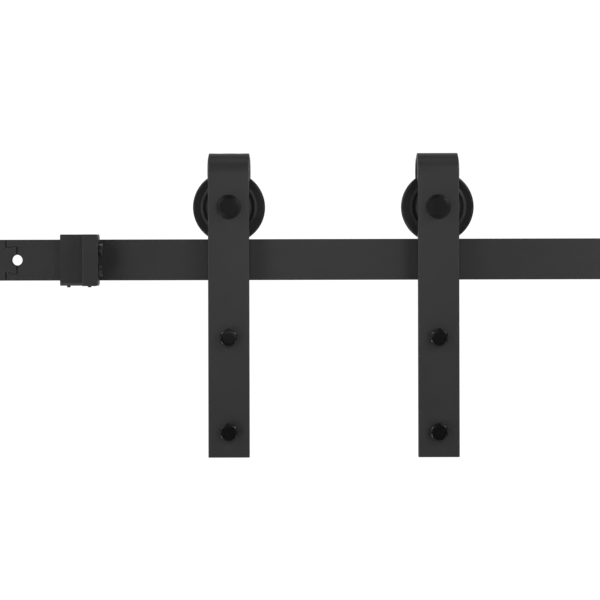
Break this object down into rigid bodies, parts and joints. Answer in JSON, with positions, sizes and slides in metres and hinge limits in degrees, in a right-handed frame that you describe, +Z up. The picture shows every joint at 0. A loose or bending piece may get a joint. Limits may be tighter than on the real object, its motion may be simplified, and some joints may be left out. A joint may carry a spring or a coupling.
{
  "type": "sliding barn door track",
  "caption": "Flat-bar sliding barn door track: a dovetailed wall rail, strap hangers that roll on it on flanged wheels, and clamp-on end stops.",
  "frame": {"origin": "centre of the wall hole at the rail's joint, on the rail's wall-side face", "axes": "+X along the rail towards the hangers, +Y towards the wall, +Z up"},
  "size_m": [1.8288, 0.0669, 0.2952],
  "materials": {
    "rail_coat": "satin black powder coat, fine texture",
    "strap_coat": "satin black powder coat, fine texture",
    "stop_coat": "satin black powder coat, fine texture",
    "wheel_coat": "semi-gloss black coat over turned steel",
    "bolt_black": "gloss black plated",
    "bearing_steel": "ground bearing steel",
    "pressed_steel": "pressed sheet steel"
  },
  "bodies": {
    "rail": {"rail_left": "rail_coat", "rail_right": "rail_coat"},
    "bearing_left": {"bearing_balls_left": "bearing_steel", "bearing_cage_left": "pressed_steel"},
    "wheel_left": {"wheel_left": "wheel_coat", "bearing_outer_ring_left": "bearing_steel", "bearing_shields_left": "pressed_steel"},
    "hanger_left": {"hanger_strap_left": "strap_coat", "axle_bolt_left": "bolt_black", "axle_spacer_front_left": "bolt_black", "axle_spacer_rear_left": "bolt_black", "bearing_inner_ring_left": "bearing_steel", "axle_washer_left": "bolt_black", "axle_nut_left": "bolt_black", "door_bolts_left": "bolt_black", "door_washers_left": "bolt_black", "door_nuts_left": "bolt_black"},
    "stop_left": {"stop_clamp_left": "stop_coat", "stop_block_left": "stop_coat", "stop_bolts_left": "bolt_black", "stop_set_screws_left": "bolt_black"},
    "bearing_right": {"bearing_balls_right": "bearing_steel", "bearing_cage_right": "pressed_steel"},
    "wheel_right": {"wheel_right": "wheel_coat", "bearing_outer_ring_right": "bearing_steel", "bearing_shields_right": "pressed_steel"},
    "hanger_right": {"hanger_strap_right": "strap_coat", "axle_bolt_right": "bolt_black", "axle_spacer_front_right": "bolt_black", "axle_spacer_rear_right": "bolt_black", "bearing_inner_ring_right": "bearing_steel", "axle_washer_right": "bolt_black", "axle_nut_right": "bolt_black", "door_bolts_right": "bolt_black", "door_washers_right": "bolt_black", "door_nuts_right": "bolt_black"},
    "stop_right": {"stop_clamp_right": "stop_coat", "stop_block_right": "stop_coat", "stop_bolts_right": "bolt_black", "stop_set_screws_right": "bolt_black"}
  },
  "joints": [
    {"name": "hanger_left_roll", "type": "slide", "parent": "rail", "child": "bearing_left", "axis": [1, 0, 0], "range_m": [-0.1014, 0.13]},
    {"name": "wheel_left_spin", "type": "hinge", "parent": "bearing_left", "child": "wheel_left", "pos_m": [0.207, -0.003, 0.0511], "axis": [0, 1, 0], "continuous": true},
    {"name": "hanger_left_swing", "type": "hinge", "parent": "bearing_left", "child": "hanger_left", "pos_m": [0.207, -0.003, 0.0511], "axis": [0, 1, 0], "range_deg": [-35, 35]},
    {"name": "stop_left_slide", "type": "slide", "parent": "rail", "child": "stop_left", "axis": [1, 0, 0], "range_m": [-0.028, 0.06]},
    {"name": "hanger_right_roll", "type": "slide", "parent": "rail", "child": "bearing_right", "axis": [1, 0, 0], "range_m": [-0.13, 0.415]},
    {"name": "wheel_right_spin", "type": "hinge", "parent": "bearing_right", "child": "wheel_right", "pos_m": [0.4102, -0.003, 0.0511], "axis": [0, 1, 0], "continuous": true},
    {"name": "hanger_right_swing", "type": "hinge", "parent": "bearing_right", "child": "hanger_right", "pos_m": [0.4102, -0.003, 0.0511], "axis": [0, 1, 0], "range_deg": [-35, 35]},
    {"name": "stop_right_slide", "type": "slide", "parent": "rail", "child": "stop_right", "axis": [1, 0, 0], "range_m": [-0.02, 0.02]}
  ],
  "couplings": [
    {"joint": "wheel_left_spin", "follows": "hanger_left_roll", "rad_per_m": 32.258},
    {"joint": "wheel_right_spin", "follows": "hanger_right_roll", "rad_per_m": 32.258}
  ]
}
